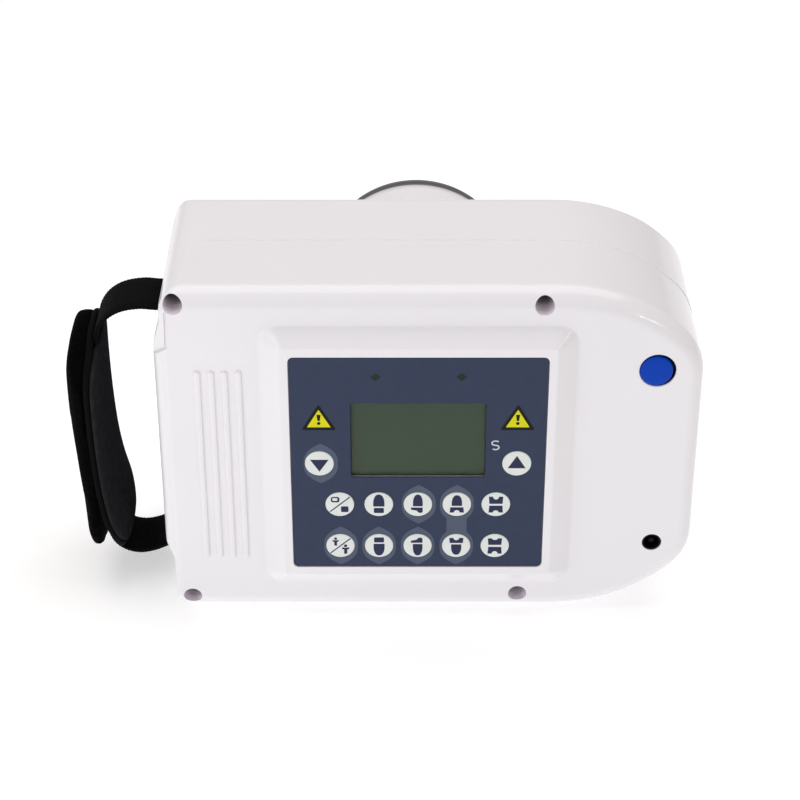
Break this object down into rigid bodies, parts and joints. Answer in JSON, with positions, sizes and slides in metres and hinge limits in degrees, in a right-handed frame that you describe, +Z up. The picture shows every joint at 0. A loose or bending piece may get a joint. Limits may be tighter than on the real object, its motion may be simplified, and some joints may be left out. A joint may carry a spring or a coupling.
{
  "type": "handheld intraoral x-ray unit",
  "caption": "Handheld intraoral x-ray unit: white two-shell housing with a membrane control panel, display, exposure button, round beam cone and padded hand strap.",
  "frame": {"origin": "on the flat bottom, under the beam axis, midway between the front and back faces of the housing", "axes": "+X to the operator's right, +Y along the beam (the control panel faces -Y), +Z up"},
  "size_m": [0.2202, 0.1398, 0.1316],
  "materials": {
    "white_housing": "satin gloss moulded ABS, very slightly violet white",
    "zinc_screw": "zinc plated, semi gloss",
    "navy_overlay": "fine matt screen-printed polyester film",
    "circuit_film": "amber polyester film with printed silver tracks",
    "clear_window": "clear polyester, hard coated",
    "lcd_glass": "olive reflective display glass",
    "indicator_lens": "dark tinted lens, unlit",
    "white_key": "white printed film with navy pictograms",
    "circuit_board": "green solder mask",
    "blue_button": "glossy saturated blue",
    "spring_steel": "bright drawn wire",
    "bracket_steel": "plated sheet steel",
    "black_plastic": "satin black moulding",
    "tank_paint": "grey enamel on steel",
    "tube_glass": "clear borosilicate",
    "copper_anode": "turned copper",
    "cup_steel": "turned nickel steel",
    "core_iron": "laminated core, varnished",
    "copper_winding": "enamelled copper wire",
    "filter_aluminium": "machined",
    "lead_plate": "dull lead sheet",
    "white_cone": "satin moulded tube",
    "grey_ring": "dark grey satin rim",
    "tray_plastic": "moulded tray",
    "cell_wrap": "heat shrink sleeve",
    "black_webbing": "ribbed woven nylon webbing",
    "black_lining": "smooth coated lining with soft gloss",
    "black_pad": "brushed loop fabric over foam"
  },
  "bodies": {
    "housing": {"front_shell": "white_housing", "rear_shell": "white_housing", "housing_screw_top_left": "zinc_screw", "housing_screw_top_right": "zinc_screw", "housing_screw_bottom_left": "zinc_screw", "housing_screw_bottom_right": "zinc_screw", "membrane_overlay": "navy_overlay", "keypad_circuit": "circuit_film", "lcd_window": "clear_window", "lcd_module": "lcd_glass", "indicator_left": "indicator_lens", "indicator_right": "indicator_lens", "control_board": "circuit_board", "button_spring": "spring_steel", "switch_bracket": "bracket_steel", "exposure_switch": "black_plastic", "charging_socket": "black_plastic", "socket_nut": "bracket_steel", "tank_housing": "tank_paint", "tank_lid": "tank_paint", "tube_envelope": "tube_glass", "anode_block": "copper_anode", "cathode_cup": "cup_steel", "transformer_core": "core_iron", "transformer_winding": "copper_winding", "beam_filter": "filter_aluminium", "collimator_plate": "lead_plate", "cone_retaining_ring": "filter_aluminium", "beam_cone": "white_cone", "cone_end_ring": "grey_ring", "battery_tray": "tray_plastic", "battery_cell_1": "cell_wrap", "battery_cell_2": "cell_wrap", "battery_cell_3": "cell_wrap", "battery_cell_4": "cell_wrap", "driver_board": "circuit_board", "buzzer": "black_plastic", "strap_pin_upper": "bracket_steel", "strap_pin_lower": "bracket_steel", "strap_webbing_upper": "black_webbing", "strap_webbing_lower": "black_webbing", "strap_lining": "black_lining", "strap_pad": "black_pad"},
    "exposure_button": {"exposure_button": "blue_button"},
    "key_time_down": {"key_time_down": "white_key"},
    "key_time_up": {"key_time_up": "white_key"},
    "key_receptor": {"key_receptor": "white_key"},
    "key_upper_incisor": {"key_upper_incisor": "white_key"},
    "key_upper_canine": {"key_upper_canine": "white_key"},
    "key_upper_molar": {"key_upper_molar": "white_key"},
    "key_bitewing_front": {"key_bitewing_front": "white_key"},
    "key_patient": {"key_patient": "white_key"},
    "key_lower_incisor": {"key_lower_incisor": "white_key"},
    "key_lower_canine": {"key_lower_canine": "white_key"},
    "key_lower_molar": {"key_lower_molar": "white_key"},
    "key_bitewing_back": {"key_bitewing_back": "white_key"}
  },
  "joints": [
    {"name": "exposure_button_press", "type": "slide", "parent": "housing", "child": "exposure_button", "axis": [0, 1, 0], "range_m": [0, 0.002], "stiffness_N_per_m": 900, "deforming": ["button_spring"]},
    {"name": "key_time_down_press", "type": "slide", "parent": "housing", "child": "key_time_down", "axis": [0, 1, 0], "range_m": [0, 0.0003], "stiffness_N_per_m": 2500},
    {"name": "key_time_up_press", "type": "slide", "parent": "housing", "child": "key_time_up", "axis": [0, 1, 0], "range_m": [0, 0.0003], "stiffness_N_per_m": 2500},
    {"name": "key_receptor_press", "type": "slide", "parent": "housing", "child": "key_receptor", "axis": [0, 1, 0], "range_m": [0, 0.0003], "stiffness_N_per_m": 2500},
    {"name": "key_upper_incisor_press", "type": "slide", "parent": "housing", "child": "key_upper_incisor", "axis": [0, 1, 0], "range_m": [0, 0.0003], "stiffness_N_per_m": 2500},
    {"name": "key_upper_canine_press", "type": "slide", "parent": "housing", "child": "key_upper_canine", "axis": [0, 1, 0], "range_m": [0, 0.0003], "stiffness_N_per_m": 2500},
    {"name": "key_upper_molar_press", "type": "slide", "parent": "housing", "child": "key_upper_molar", "axis": [0, 1, 0], "range_m": [0, 0.0003], "stiffness_N_per_m": 2500},
    {"name": "key_bitewing_front_press", "type": "slide", "parent": "housing", "child": "key_bitewing_front", "axis": [0, 1, 0], "range_m": [0, 0.0003], "stiffness_N_per_m": 2500},
    {"name": "key_patient_press", "type": "slide", "parent": "housing", "child": "key_patient", "axis": [0, 1, 0], "range_m": [0, 0.0003], "stiffness_N_per_m": 2500},
    {"name": "key_lower_incisor_press", "type": "slide", "parent": "housing", "child": "key_lower_incisor", "axis": [0, 1, 0], "range_m": [0, 0.0003], "stiffness_N_per_m": 2500},
    {"name": "key_lower_canine_press", "type": "slide", "parent": "housing", "child": "key_lower_canine", "axis": [0, 1, 0], "range_m": [0, 0.0003], "stiffness_N_per_m": 2500},
    {"name": "key_lower_molar_press", "type": "slide", "parent": "housing", "child": "key_lower_molar", "axis": [0, 1, 0], "range_m": [0, 0.0003], "stiffness_N_per_m": 2500},
    {"name": "key_bitewing_back_press", "type": "slide", "parent": "housing", "child": "key_bitewing_back", "axis": [0, 1, 0], "range_m": [0, 0.0003], "stiffness_N_per_m": 2500}
  ]
}
